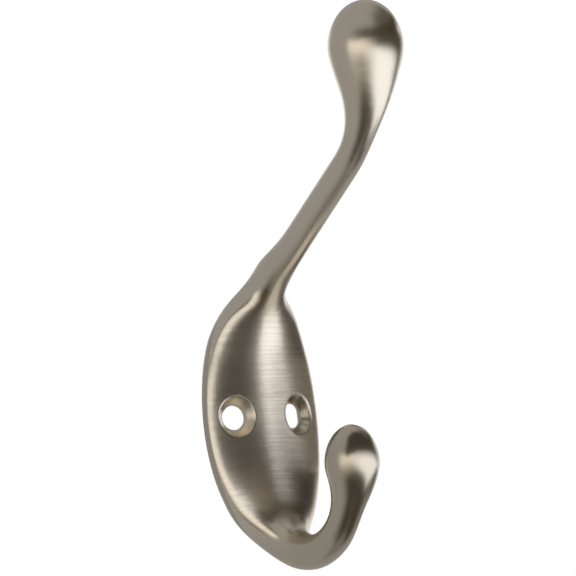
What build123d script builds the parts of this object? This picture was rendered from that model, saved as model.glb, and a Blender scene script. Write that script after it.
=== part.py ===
import os
from math import asin, cos, degrees, radians, sin, sqrt, tan

from build123d import *

os.makedirs("parts", exist_ok=True)

# Lengths are in millimetres and angles in degrees. The wall is the plane y = 0 and the hook
# stands out of it towards -Y. The origin lies on the wall, midway between the screw holes.

# Back plate: a leaf with an upright edge and a ridged front, bowed out towards both arms
plate_width = 28.6
plate_edge = 1.8
plate_crown = 5.2
plate_bow = 110.0
leaf_middle = -1.0
leaf_above = 27.4
leaf_below = 26.4
ridge_fullness = 0.22

# Heel: how deep and square the back of each arm's root is before the wall cuts it off
heel_depth = 6.0
heel_fullness = 0.95
heel_ratio = 1.55

# Upper arm: leans out for a hat and ends in an egg-shaped knob
hat_root_height = 13.5
hat_root_radius = 24.0
hat_arm_angle = 56.4
hat_arm_length = 31.0
hat_crook_radius = 24.0
hat_knob_angle = 8.0
hat_neck_length = 6.8
hat_arm_radius = 3.0
hat_flare = 3.0
hat_flare_reach = 45.0
hat_knob_radius = 7.9
hat_knob_cap = 9.9
hat_knob_taper = 25.0

# Lower arm: curls up for a coat and ends in a smaller knob
coat_root_drop = 19.0
coat_curl_radius = 13.0
coat_curl_angle = 40.0
coat_lift_radius = 22.8
coat_knob_angle = 8.0
coat_arm_radius = 3.2
coat_flare = 2.0
coat_flare_reach = 55.0
coat_knob_radius = 5.75
coat_knob_cap = 8.1
coat_knob_taper = 14.1

# Hollow in the back, and the two countersunk screw holes
rim_width = 3.8
shell_thickness = 3.0
recess_length = 38.0
hole_spacing = 15.3
hole_diameter = 5.2
seat_diameter = 8.6
seat_angle = 82.0

# Spacing of the cross-sections along the arms, and of those that close a knob
section_spacing = 4.0
cap_angle = 22.5

# How the sizes of neighbouring stretches run into each other
leaf_power = 3.0
knob_roundness = 1.6
knob_power = 2.9
heel_power = 1.5

half_width = plate_width / 2
ridge_rise = plate_crown - plate_edge
round_fullness = 4 / 3 * tan(radians(90 / 4))
middle = (-plate_edge, leaf_middle)
hat_bow_angle = degrees(asin((hat_root_height - leaf_middle) / plate_bow))
coat_bow_angle = degrees(asin((coat_root_drop + leaf_middle) / plate_bow))

# Centre lines of the two arms, in the plane of symmetry, from the middle of the leaf
with BuildLine(Plane.YZ) as hat_line:
    rise = JernArc(middle, (0, 1), plate_bow, hat_bow_angle)
    root = JernArc(rise @ 1, rise % 1, hat_root_radius, hat_arm_angle - hat_bow_angle)
    arm = PolarLine(root @ 1, hat_arm_length, direction=root % 1)
    crook = JernArc(arm @ 1, arm % 1, hat_crook_radius, hat_knob_angle - hat_arm_angle)
    PolarLine(crook @ 1, hat_neck_length, direction=crook % 1)

with BuildLine(Plane.YZ) as coat_line:
    drop = JernArc(middle, (0, -1), plate_bow, -coat_bow_angle)
    curl = JernArc(drop @ 1, drop % 1, coat_curl_radius, coat_bow_angle + coat_curl_angle - 180)
    JernArc(curl @ 1, curl % 1, coat_lift_radius, coat_knob_angle - coat_curl_angle)


def fade(distance, reach):
    """A share that is 1 at the middle of the leaf and falls to 0 at its reach."""
    return max(0, 1 - (distance / reach) ** 2)


def mix(thin, wide, share):
    """A size between two others, by the share of the second."""
    return thin + (wide - thin) * share


def section(plane, width, front, back, front_fullness, back_fullness):
    """A cross-section in four curves, its front towards the plane's y."""
    with BuildLine() as outline:
        for side in (width, -width):
            for height, fullness in ((front, front_fullness), (-back, back_fullness)):
                Bezier((side, 0), (side, fullness * height), (fullness * side, height), (0, height))
    return plane * make_face(outline.edges(), mode=Mode.PRIVATE)


def across(place, down):
    """The plane square to a centre line, facing down it so that its y points to the front."""
    return Plane(place, x_dir=(1, 0, 0), z_dir=down)


def leaf_to_knob(line, heading, leaf_reach, arm_radius, flare, flare_reach, knob_radius, knob_taper):
    """Cross-sections from the middle of the leaf along one arm to the widest part of its knob."""
    wire = line.wire()
    steps = round(wire.length / section_spacing)
    sections = []
    for step in range(steps + 1):
        distance = wire.length * step / steps
        place = wire.position_at(distance, position_mode=PositionMode.LENGTH)
        down = wire.tangent_at(distance, position_mode=PositionMode.LENGTH) * heading
        leaf = fade(distance, leaf_reach)
        heel = fade(distance, leaf_reach * heel_ratio) ** heel_power
        swell = max(0, 1 - ((wire.length - distance) / knob_taper) ** knob_roundness) ** knob_power
        depth = mix(arm_radius, knob_radius, swell)
        radius = depth + flare * fade(distance, flare_reach) ** 2
        width = mix(radius**leaf_power, half_width**leaf_power, leaf ** (leaf_power / 2))
        outline = section(
            across(place, down),
            width=width ** (1 / leaf_power),
            front=mix(depth, ridge_rise, leaf),
            back=mix(radius, heel_depth, heel),
            front_fullness=mix(round_fullness, ridge_fullness, sqrt(leaf)),
            back_fullness=mix(round_fullness, heel_fullness, heel),
        )
        sections.append(outline)
    return sections


def knob_cap(line, heading, radius, length):
    """Round sections that close a knob beyond its widest part, and the point at its end."""
    end = line.wire() @ 1
    along = line.wire() % 1
    sections = []
    for turn in range(1, round(90 / cap_angle)):
        angle = radians(turn * cap_angle)
        size = radius * cos(angle)
        plane = across(end + along * length * sin(angle), along * heading)
        sections.append(section(plane, size, size, size, round_fullness, round_fullness))
    return [*sections, Vertex(*(end + along * length))]


hat_sections = leaf_to_knob(
    hat_line, -1, leaf_above, hat_arm_radius, hat_flare, hat_flare_reach, hat_knob_radius, hat_knob_taper
)
hat_sections += knob_cap(hat_line, -1, hat_knob_radius, hat_knob_cap)
coat_sections = leaf_to_knob(
    coat_line, 1, leaf_below, coat_arm_radius, coat_flare, coat_flare_reach, coat_knob_radius, coat_knob_taper
)
coat_sections += knob_cap(coat_line, 1, coat_knob_radius, coat_knob_cap)

# One surface runs from knob to knob through the leaf, and the wall cuts it flat
with BuildPart() as casting:
    loft(sections=[*reversed(hat_sections[1:]), *coat_sections])
    split(bisect_by=Plane.XZ, keep=Keep.TOP)

# The hollow is half an egg, so the shell stays about as thick under the ridge as at the holes
recess_middle = (0, 0, leaf_middle)
recess_sizes = (half_width - rim_width, plate_crown - shell_thickness, recess_length / 2)

with BuildPart() as recess:
    with Locations(recess_middle):
        Sphere(1)
    scale(by=recess_sizes, about=recess_middle)

# Each hole runs straight into the wall, and its seat lies square to the front of the plate
hole_radius = hole_diameter / 2
seat_slope = tan(radians(seat_angle / 2))
seat_depth = (seat_diameter - hole_diameter) / 2 / seat_slope
hole_axis = Axis((hole_spacing / 2, 0, 0), (0, -1, 0))
front_point, front_normal = casting.solid().shell().find_intersection_points(hole_axis)[-1]
seat_tip = front_point + Vector(0, seat_depth, 0) - front_normal * (hole_radius / seat_slope)

with BuildPart() as screw_holes:
    with Locations(Plane(seat_tip, z_dir=front_normal)):
        Cone(0, seat_diameter, seat_diameter / seat_slope, align=(Align.CENTER, Align.CENTER, Align.MIN))
    with Locations(Plane(hole_axis.position, z_dir=hole_axis.direction)):
        Cylinder(hole_radius, plate_crown * 2)
    mirror(about=Plane.YZ)

with BuildPart() as coat_hook:
    add(casting.part)
    add(recess.part, mode=Mode.SUBTRACT)
    add(screw_holes.part, mode=Mode.SUBTRACT)

coat_hook.part.label = "coat_hook"
export_step(coat_hook.part, "parts/coat_hook.step")
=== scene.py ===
# %% [markdown]
# # A satin nickel coat hook
# The hook is one metal casting, and its whole form comes from the CAD model. Nothing is modelled
# twice here: the model is loaded as it stands, and this lesson gives it its finish, a quiet
# studio to mirror, a floor, and a camera at the photograph's viewing angle.

from math import cos, degrees, radians, sin

import bpy
from mathutils import Matrix, Vector

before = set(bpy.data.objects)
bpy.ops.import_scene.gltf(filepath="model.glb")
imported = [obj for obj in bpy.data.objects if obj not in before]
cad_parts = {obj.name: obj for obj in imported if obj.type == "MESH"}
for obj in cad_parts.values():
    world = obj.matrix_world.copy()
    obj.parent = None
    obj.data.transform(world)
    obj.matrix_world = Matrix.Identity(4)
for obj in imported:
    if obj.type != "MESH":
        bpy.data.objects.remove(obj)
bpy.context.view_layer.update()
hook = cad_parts["coat_hook"]
print("facets", len(hook.data.polygons))

# %% [markdown]
# ## The camera
# The photograph was taken from the left of the hook and a little below it, and the hook leans a
# few degrees in the picture. A target and a constraint could aim the camera, but they would not
# give the lean. Here the three axes of the picture are worked out from those angles and put
# straight into the camera's matrix. A long lens from two metres away keeps the arms free of
# distortion.

# %% Aim the camera
to_the_left = radians(37)
from_below = radians(6)
lean = radians(5.9)
distance = 2.0
picture_width = 0.1215
aim_right = 0.00646
aim_up = 0.02743

level_right = Vector((cos(to_the_left), -sin(to_the_left), 0))
towards_camera = Vector((
    -sin(to_the_left) * cos(from_below), -cos(to_the_left) * cos(from_below), -sin(from_below)
))
level_up = towards_camera.cross(level_right)
picture_right = level_right * cos(lean) - level_up * sin(lean)
picture_up = level_right * sin(lean) + level_up * cos(lean)
aim = picture_right * aim_right + picture_up * aim_up

lens = bpy.data.cameras.new("long_lens")
lens.sensor_width = 36
lens.lens = lens.sensor_width * distance / picture_width
lens.clip_end = 20
camera = bpy.data.objects.new("camera", lens)
bpy.context.scene.collection.objects.link(camera)
turn = Matrix((picture_right, picture_up, towards_camera)).transposed().to_4x4()
camera.matrix_world = Matrix.Translation(aim + towards_camera * distance) @ turn
bpy.context.scene.camera = camera
print("camera at", [round(value, 3) for value in camera.location], "lens", round(lens.lens), "mm")

# %% [markdown]
# ## Writing nodes as sums
# A finish is a sum of soft patterns, and a sum is easier to read as Python than as boxes and
# wires. `Signal` holds one output socket and knows the arithmetic, so `1 - mask` adds the Math
# node by itself.

# %% A socket that can be added and multiplied
class Signal:
    """One output socket that can stand in a sum."""

    def __init__(self, bench, socket):
        self.bench = bench
        self.socket = socket

    def __add__(self, other):
        return self.bench.math("ADD", self, other)

    def __sub__(self, other):
        return self.bench.math("SUBTRACT", self, other)

    def __rsub__(self, other):
        return self.bench.math("SUBTRACT", other, self)

    def __mul__(self, other):
        return self.bench.math("MULTIPLY", self, other)

    __radd__ = __add__
    __rmul__ = __mul__


print("sockets can stand in sums")

# %% [markdown]
# ## One bench for every node tree
# `Bench` is the node tree of one material or of the world. Nodes could be set out one line at a
# time, but then every finish would repeat the same five lines. Its method `node` sets out any
# node in one call, and three short methods built on it cover what a finish needs most: a sum, a
# blend of two colours and a soft step.

# %% A bench to set out nodes on
class Bench:
    """The node tree of one material or of the world."""

    def __init__(self, owner):
        owner.use_nodes = True
        self.tree = owner.node_tree
        self.tree.nodes.clear()

    def node(self, kind, settings, sockets, output=0):
        """Adds a node: its settings first, then the values and links of its sockets."""
        made = self.tree.nodes.new(kind)
        for name, value in settings.items():
            setattr(made, name, value)
        for name, value in sockets.items():
            if isinstance(value, Signal):
                self.tree.links.new(value.socket, made.inputs[name])
            else:
                made.inputs[name].default_value = value
        return Signal(self, made.outputs[output]) if made.outputs else None

    def math(self, operation, *values):
        """Works out one sum."""
        return self.node("ShaderNodeMath", {"operation": operation}, dict(enumerate(values)))

    def blend(self, share, first, second):
        """Mixes two colours by the share of the second."""
        colours = {0: share, 6: first, 7: second}
        return self.node("ShaderNodeMix", {"data_type": "RGBA"}, colours, output=2)

    def ease(self, value, low, high):
        """Rises softly from 0 at low to 1 at high."""
        limits = {"Value": value, "From Min": low, "From Max": high}
        return self.node("ShaderNodeMapRange", {"interpolation_type": "SMOOTHSTEP"}, limits)


print("nodes can be set out in one call")

# %% [markdown]
# ## Where the brush went
# The casting was plated, and its plate was brushed from side to side, which left hair-fine level
# lines there and hardly any on the arms. A picture of brushed metal could be wrapped on, but it
# would stretch on the curves. Noise that is squeezed in height and drawn out sideways lies right
# everywhere, because it fills space and needs no unwrapping. A soft mask says where the plate is.

# %% Draw the hairlines and the clouds
satin_nickel = bpy.data.materials.new("satin_nickel")
metal = Bench(satin_nickel)
place = metal.node("ShaderNodeTexCoord", {}, {}, output="Object")
into_wall = metal.node("ShaderNodeSeparateXYZ", {}, {"Vector": place}, output="Y")
height = metal.node("ShaderNodeSeparateXYZ", {}, {"Vector": place}, output="Z")

plate_front = -0.008
arms_begin = -0.016
plate_top = 0.018
plate_bottom = -0.022
fade = 0.01
on_plate = metal.ease(into_wall, arms_begin, plate_front)
on_plate = on_plate * metal.ease(height, plate_bottom - fade, plate_bottom)
on_plate = on_plate * metal.ease(height, plate_top + fade, plate_top)

hair_height = 1 / 4200
hair_length = 1 / 60
cloud_width = 1 / 90
squeeze = (1 / hair_length, 1 / hair_length, 1 / hair_height)
along_brush = metal.node("ShaderNodeMapping", {}, {"Vector": place, "Scale": squeeze})
hairs = metal.node("ShaderNodeTexNoise", {}, {"Vector": along_brush, "Scale": 1, "Detail": 2})
clouds = metal.node("ShaderNodeTexNoise", {}, {"Vector": place, "Scale": 1 / cloud_width, "Detail": 2})
print("hairlines", round(1000 * hair_height, 2), "mm high, clouds", round(1000 * cloud_width), "mm wide")

# %% [markdown]
# ## The plating's colour
# Satin nickel is a warm grey that is never quite even. Clouds of a lighter and a darker grey run
# over the whole hook, the brush lines show on the plate, the lower part is a little darker as
# painted shade that dims its reflections, and the upright edge at the wall keeps the darker grey
# of the casting. One flat colour would look like paint, so the greys are laid over each other,
# each with its own mask.

# %% Lay the greys over each other
dark_cloud = (0.62, 0.55, 0.45, 1)
light_cloud = (0.68, 0.605, 0.5, 1)
# painted shade: a darker grey for the lower part, which dims its reflections
low_shade_grey = (0.55, 0.485, 0.395, 1)
light_line = (0.73, 0.648, 0.536, 1)
dark_line = (0.65, 0.577, 0.474, 1)
casting_grey = (0.52, 0.465, 0.385, 1)

low_shade_begins = -0.004
low_shade_is_full = -0.012
edge_begins = -0.0022
edge_is_full = -0.0017
line_strength = 0.8
# painted shade: off the plate, the lower part turns darker towards the bottom
low_shade = metal.ease(height, low_shade_begins, low_shade_is_full) * (1 - on_plate)
at_the_wall = metal.ease(into_wall, edge_begins, edge_is_full)
lines = metal.blend(metal.ease(hairs, 0.35, 0.65), light_line, dark_line)
plating = metal.blend(clouds, dark_cloud, light_cloud)
plating = metal.blend(low_shade, plating, low_shade_grey)
plating = metal.blend(line_strength * on_plate, plating, lines)
plating = metal.blend(at_the_wall, plating, casting_grey)
print("plating laid in", len(metal.tree.nodes), "nodes")

# %% [markdown]
# ## The plating's surface
# The gloss is soft, not mirror-like, and the clouds vary it a little. Plating rounds every sharp
# edge, so the rims of the plate and of the screw seats catch a thin soft light. Cutting real
# roundings would change the CAD mesh, so a Bevel node bends the light there instead. The
# hairlines go on top as a bump of eight thousandths of a millimetre, which smears the reflections
# on the plate up and down.

# %% Put the metal together
edge_radius = 0.0009
hair_depth = 0.000008
lines_on_arms = 0.05
dullness = 0.23 + 0.05 * clouds
soft_edges = metal.node("ShaderNodeBevel", {"samples": 8}, {"Radius": edge_radius})
brushed = metal.node("ShaderNodeBump", {}, {
    "Height": hairs * (lines_on_arms + on_plate),
    "Strength": 1,
    "Distance": hair_depth,
    "Normal": soft_edges,
})
skin = metal.node("ShaderNodeBsdfPrincipled", {}, {
    "Base Color": plating, "Metallic": 1, "Roughness": dullness, "Normal": brushed
})
metal.node("ShaderNodeOutputMaterial", {}, {"Surface": skin})

hook.data.materials.clear()
hook.data.materials.append(satin_nickel)
print("finish", satin_nickel.name, "with", len(metal.tree.nodes), "nodes")

# %% [markdown]
# ## The white ground
# The picture has a plain white ground all round. A backdrop could be built, but the world does the
# same with nothing to light: pure white at strength 1, the same for the camera and for the metal.

# %% Hang the white ground
world = bpy.data.worlds.new("white_ground")
bpy.context.scene.world = world
ground = Bench(world)
white = ground.node("ShaderNodeBackground", {}, {"Color": (1, 1, 1, 1), "Strength": 1})
ground.node("ShaderNodeOutputWorld", {}, {"Surface": white})
print("white ground at strength 1")

# %% [markdown]
# ## What the metal mirrors
# Polished metal has hardly any colour of its own: it shows what stands round it. In a studio that
# is a room, with cards to brighten the metal and flags to darken it. They could be painted into
# the world, but a card close by stands at another height in the upper knob than in the lower one.
# So each is a sheet of its own that only the metal sees, and the large ones are bent round the
# hook.

# %% Bend sheets round the hook
def only_mirrored(sheet):
    """Puts a sheet into the studio so that only the metal sees it."""
    bpy.context.scene.collection.objects.link(sheet)
    sheet.visible_camera = False
    sheet.visible_diffuse = False
    sheet.visible_transmission = False
    sheet.visible_shadow = False
    return sheet


def bent_sheet(name, radius, left, right, low, high):
    """Part of a sphere round the origin, between azimuths and elevations in degrees."""
    columns, rows = 48, 16
    points = []
    for row in range(rows + 1):
        tilt = radians(low + (high - low) * row / rows)
        for column in range(columns + 1):
            turn = radians(left + (right - left) * column / columns)
            points.append(radius * Vector((sin(turn) * cos(tilt), -cos(turn) * cos(tilt), sin(tilt))))
    across = columns + 1
    starts = [row * across + column for row in range(rows) for column in range(columns)]
    quads = [(start, start + 1, start + across + 1, start + across) for start in starts]
    mesh = bpy.data.meshes.new(name)
    mesh.from_pydata(points, [], quads)
    return only_mirrored(bpy.data.objects.new(name, mesh))


print("sheets can be bent round the hook")

# %% [markdown]
# ## Painting a sheet
# A real card is lit by lamps. Here each sheet glows by itself, which needs no lamps and throws no
# stray light on the floor. Its colours are placed by azimuth, from straight in front and growing to
# the right, and by elevation, both seen from the hook's origin. Where a sheet is clear, what stands
# behind it shows.

# %% Paint by azimuth and elevation
def painted(sheet):
    """A fresh bench for a sheet's own glow."""
    paper = bpy.data.materials.new(sheet.name)
    sheet.data.materials.append(paper)
    return Bench(paper)


def bearings(bench):
    """The azimuth and elevation of a sheet's points, in degrees."""
    spot = bench.node("ShaderNodeTexCoord", {}, {}, output="Object")
    outward = bench.node("ShaderNodeVectorMath", {"operation": "NORMALIZE"}, {0: spot})
    right = bench.node("ShaderNodeSeparateXYZ", {}, {"Vector": outward}, output="X")
    back = bench.node("ShaderNodeSeparateXYZ", {}, {"Vector": outward}, output="Y")
    up = bench.node("ShaderNodeSeparateXYZ", {}, {"Vector": outward}, output="Z")
    azimuth = bench.math("ARCTAN2", right, 0 - back) * degrees(1)
    elevation = bench.math("ARCSINE", up) * degrees(1)
    return azimuth, elevation


def glow(bench, colour, share):
    """Lets a sheet shine in a colour, and leaves it clear where its share is 0."""
    shine = bench.node("ShaderNodeEmission", {}, {"Color": colour, "Strength": 1})
    clear = bench.node("ShaderNodeBsdfTransparent", {}, {})
    seen = bench.node("ShaderNodeMixShader", {}, {0: share, 1: clear, 2: shine})
    bench.node("ShaderNodeOutputMaterial", {}, {"Surface": seen})


print("sheets can be painted by azimuth and elevation")

# %% [markdown]
# ## The room
# The room stands three metres off. It has grey walls and a darker ground underfoot, a wide dark
# doorway in front, a table below the doorway and a dim corner above it on the right. On the right
# and behind, an opening at eye level lets the white ground through. A room could be built of
# boxes, but satin metal blurs every edge anyway, so soft patches on one bent sheet are enough.

# %% Paint the room
def patch(bench, azimuth, elevation, left, right, low, high):
    """1 inside a patch, falling softly to 0: each side is given as where it is clear and full."""
    wide = bench.ease(azimuth, *left) * bench.ease(azimuth, *right)
    return wide * bench.ease(elevation, *low) * bench.ease(elevation, *high)


wall_grey = (0.43, 0.43, 0.43, 1)
corner_grey = (0.15, 0.14, 0.115, 1)
dark_brown = (0.06, 0.05, 0.034, 1)
underfoot_grey = (0.29, 0.285, 0.27, 1)

room = bent_sheet("room", 3, -222, 138, -90, 90)
walls = painted(room)
azimuth, elevation = bearings(walls)
corner = patch(walls, azimuth, elevation, left=(-20, 25), right=(108, 92), low=(5, 20), high=(75, 45))
doorway = patch(walls, azimuth, elevation, left=(-95, -40), right=(112, 100), low=(-30, -20), high=(38, 26))
table = patch(walls, azimuth, elevation, left=(-108, -60), right=(100, 70), low=(-77, -64), high=(-18, -28))
underfoot = walls.ease(elevation, -58, -76)
opening = walls.ease(azimuth, 84, 92) * walls.ease(elevation, -12, -4) * walls.ease(elevation, 24, 14)

shade = walls.blend(corner, wall_grey, corner_grey)
shade = walls.blend(doorway, shade, dark_brown)
shade = walls.blend(underfoot, shade, underfoot_grey)
shade = walls.blend(table, shade, dark_brown)
glow(walls, shade, 1 - opening)
print("room with", len(walls.tree.nodes), "nodes")

# %% [markdown]
# ## The dull card
# A large card stands in front and to the left, where the camera looks from, and dims downwards.
# Surfaces that face the camera mirror it. A lamp there would show as one hard spot in the metal,
# and a card can have soft ends.

# %% Bend the dull card
dull_top = (1.22, 1.19, 1.11, 1)
dull_foot = (0.45, 0.43, 0.38, 1)
dull_card = bent_sheet("dull_card", 0.62, -115, 10, -45, 26)
dull = painted(dull_card)
azimuth, elevation = bearings(dull)
rim = 13 - 0.05 * azimuth
share = dull.ease(azimuth, -98, -76) * dull.ease(elevation - rim, 5, -5) * dull.ease(elevation, -38, -27)
glow(dull, dull.blend(dull.ease(elevation, -30, 0), dull_foot, dull_top), share)
print("card", dull_card.name)

# %% [markdown]
# ## The bright card
# The brightest light on the knobs and on the ridge of the plate comes from a card about a hand's
# length away, in front and reaching round to the right. It could be a lamp too, but it has to be
# brightest low down and dark at the top. Its lower edge falls towards the right, and past 45
# degrees it rises steeply towards the card's end.

# %% Bend the bright card
bright_foot = (1.5, 1.56, 1.68, 1)
bright_top = (0.08, 0.068, 0.048, 1)
bright_card = bent_sheet("bright_card", 0.23, -50, 106, -52, 30)
bright = painted(bright_card)
azimuth, elevation = bearings(bright)
right_end = bright.math("MAXIMUM", azimuth, 45) - 45
lower_edge = right_end - 0.25 * azimuth - 27
share = bright.ease(azimuth, -45, 8) * bright.ease(azimuth, 102, 74)
share = share * bright.ease(elevation - lower_edge, -9, 4)
level = elevation + 0.06 * azimuth + 0.2 * right_end
glow(bright, bright.blend(bright.ease(level, 19, -2), bright_top, bright_foot), share)
print("card", bright_card.name)

# %% [markdown]
# ## A dark strip before the plate
# In the picture the left flank of the plate is dark. A strip of dark paper in front of the plate
# does that, as a flag on a stand would in a studio. It could be painted on the bright card, but
# then both knobs would mirror it. So close by, it shows in the plate and a little in the tip of
# the lower knob. Each small sheet is flat and shows on one side only.

# %% Hang the dark strip
def small_sheet(name, colour, corners):
    """A flat sheet with corners in mm, seen from where they run anticlockwise."""
    mesh = bpy.data.meshes.new(name)
    mesh.from_pydata([Vector(corner) / 1000 for corner in corners], [], [range(len(corners))])
    paper = painted(only_mirrored(bpy.data.objects.new(name, mesh)))
    far_side = paper.node("ShaderNodeNewGeometry", {}, {}, output="Backfacing")
    glow(paper, colour, 1 - far_side)
    print("sheet", name)


in_front = -42
strip_brown = (0.06, 0.05, 0.037, 1)
strip_corners = ((-17, -10), (-14.5, 17.5), (8.5, 17.5), (14.5, -10))
small_sheet("dark_strip", strip_brown, [(x, in_front, z) for x, z in strip_corners])

# %% [markdown]
# ## Three flags on the right
# The right flank of the plate grows darker downwards. One large flag beside the plate dims most
# of that flank, and two darker ones stand a hair nearer, low down and at the top. One sheet
# with painted shades would do as well, but separate flags are easier to move.

# %% Stand the flags beside the plate
beside = 24
nearer = beside - 0.2
low_brown = (0.02, 0.016, 0.011, 1)
high_brown = (0.18, 0.16, 0.14, 1)
top_brown = (0.09, 0.08, 0.07, 1)
low_corners = ((-6.5, -24), (-19, -24), (-19, -7), (-6.5, -11))
high_corners = ((-3, -10), (-11.5, -10), (-13.8, 4), (-17.8, 16.5), (-3, 16.5))
top_corners = ((-3, 12.5), (-16.8, 12.5), (-18.2, 19.8), (-3, 19.8))
small_sheet("low_right_flag", low_brown, [(nearer, y, z) for y, z in low_corners])
small_sheet("high_right_flag", high_brown, [(beside, y, z) for y, z in high_corners])
small_sheet("top_right_flag", top_brown, [(nearer, y, z) for y, z in top_corners])

# %% [markdown]
# ## A pale card under the upper arm
# Where the upper arm grows out of the plate, its underside faces down and would mirror the dark
# parts of the room. A lamp would light more than that root. A small pale card that lies level
# below it lifts the root out of the dark.

# %% Lay the pale card
card_height = 3
card_cream = (0.7, 0.67, 0.61, 1)
card_corners = ((2, -27), (27, -21.5), (27, -12), (2, -12))
small_sheet("upper_root_card", card_cream, [(x, y, card_height) for x, y in card_corners])

# %% [markdown]
# ## The floor
# The hook hangs free in the picture, so the floor lies well below it and only shows when the
# camera looks down. A box would do for a floor, but one plane with a clear underside never hides
# the hook from a camera that looks up from below.

# %% Lay the floor
floor_drop = 0.3
half_floor = 3.0
corners = [(x * half_floor, y * half_floor, -floor_drop) for x, y in ((-1, -1), (1, -1), (1, 1), (-1, 1))]
floor_mesh = bpy.data.meshes.new("floor")
floor_mesh.from_pydata(corners, [], [(0, 1, 2, 3)])
floor = bpy.data.objects.new("floor", floor_mesh)
bpy.context.scene.collection.objects.link(floor)
floor.visible_glossy = False

pale_paint = bpy.data.materials.new("pale_paint")
paint = Bench(pale_paint)
matt = paint.node("ShaderNodeBsdfDiffuse", {}, {"Color": (0.82, 0.81, 0.79, 1)})
clear = paint.node("ShaderNodeBsdfTransparent", {}, {})
underside = paint.node("ShaderNodeNewGeometry", {}, {}, output="Backfacing")
one_sided = paint.node("ShaderNodeMixShader", {}, {0: underside, 1: matt, 2: clear})
paint.node("ShaderNodeOutputMaterial", {}, {"Surface": one_sided})
floor_mesh.materials.append(pale_paint)
print("floor", floor_drop, "m below the screw holes")

# %% [markdown]
# ## The lamp
# One broad lamp from the upper left gives the floor its soft shadow. A bare point lamp would give a
# hard one, so it is a wide square, turned to face the hook. The metal doesn't mirror it, because
# the cards are what it shows.

# %% Hang the lamp
lamp_data = bpy.data.lights.new("soft_lamp", "AREA")
lamp_data.size = 0.8
lamp_data.energy = 12
lamp = bpy.data.objects.new("soft_lamp", lamp_data)
lamp.location = (-0.6, -0.9, 1.1)
lamp.rotation_mode = "QUATERNION"
lamp.rotation_quaternion = lamp.location.to_track_quat("Z", "Y")
lamp.visible_glossy = False
bpy.context.scene.collection.objects.link(lamp)
print("lamp", round(lamp.location.length, 2), "m away")

# %% [markdown]
# ## The view transform
# The render uses the Standard view transform.

# %% Set the view transform
bpy.context.scene.view_settings.view_transform = "Standard"
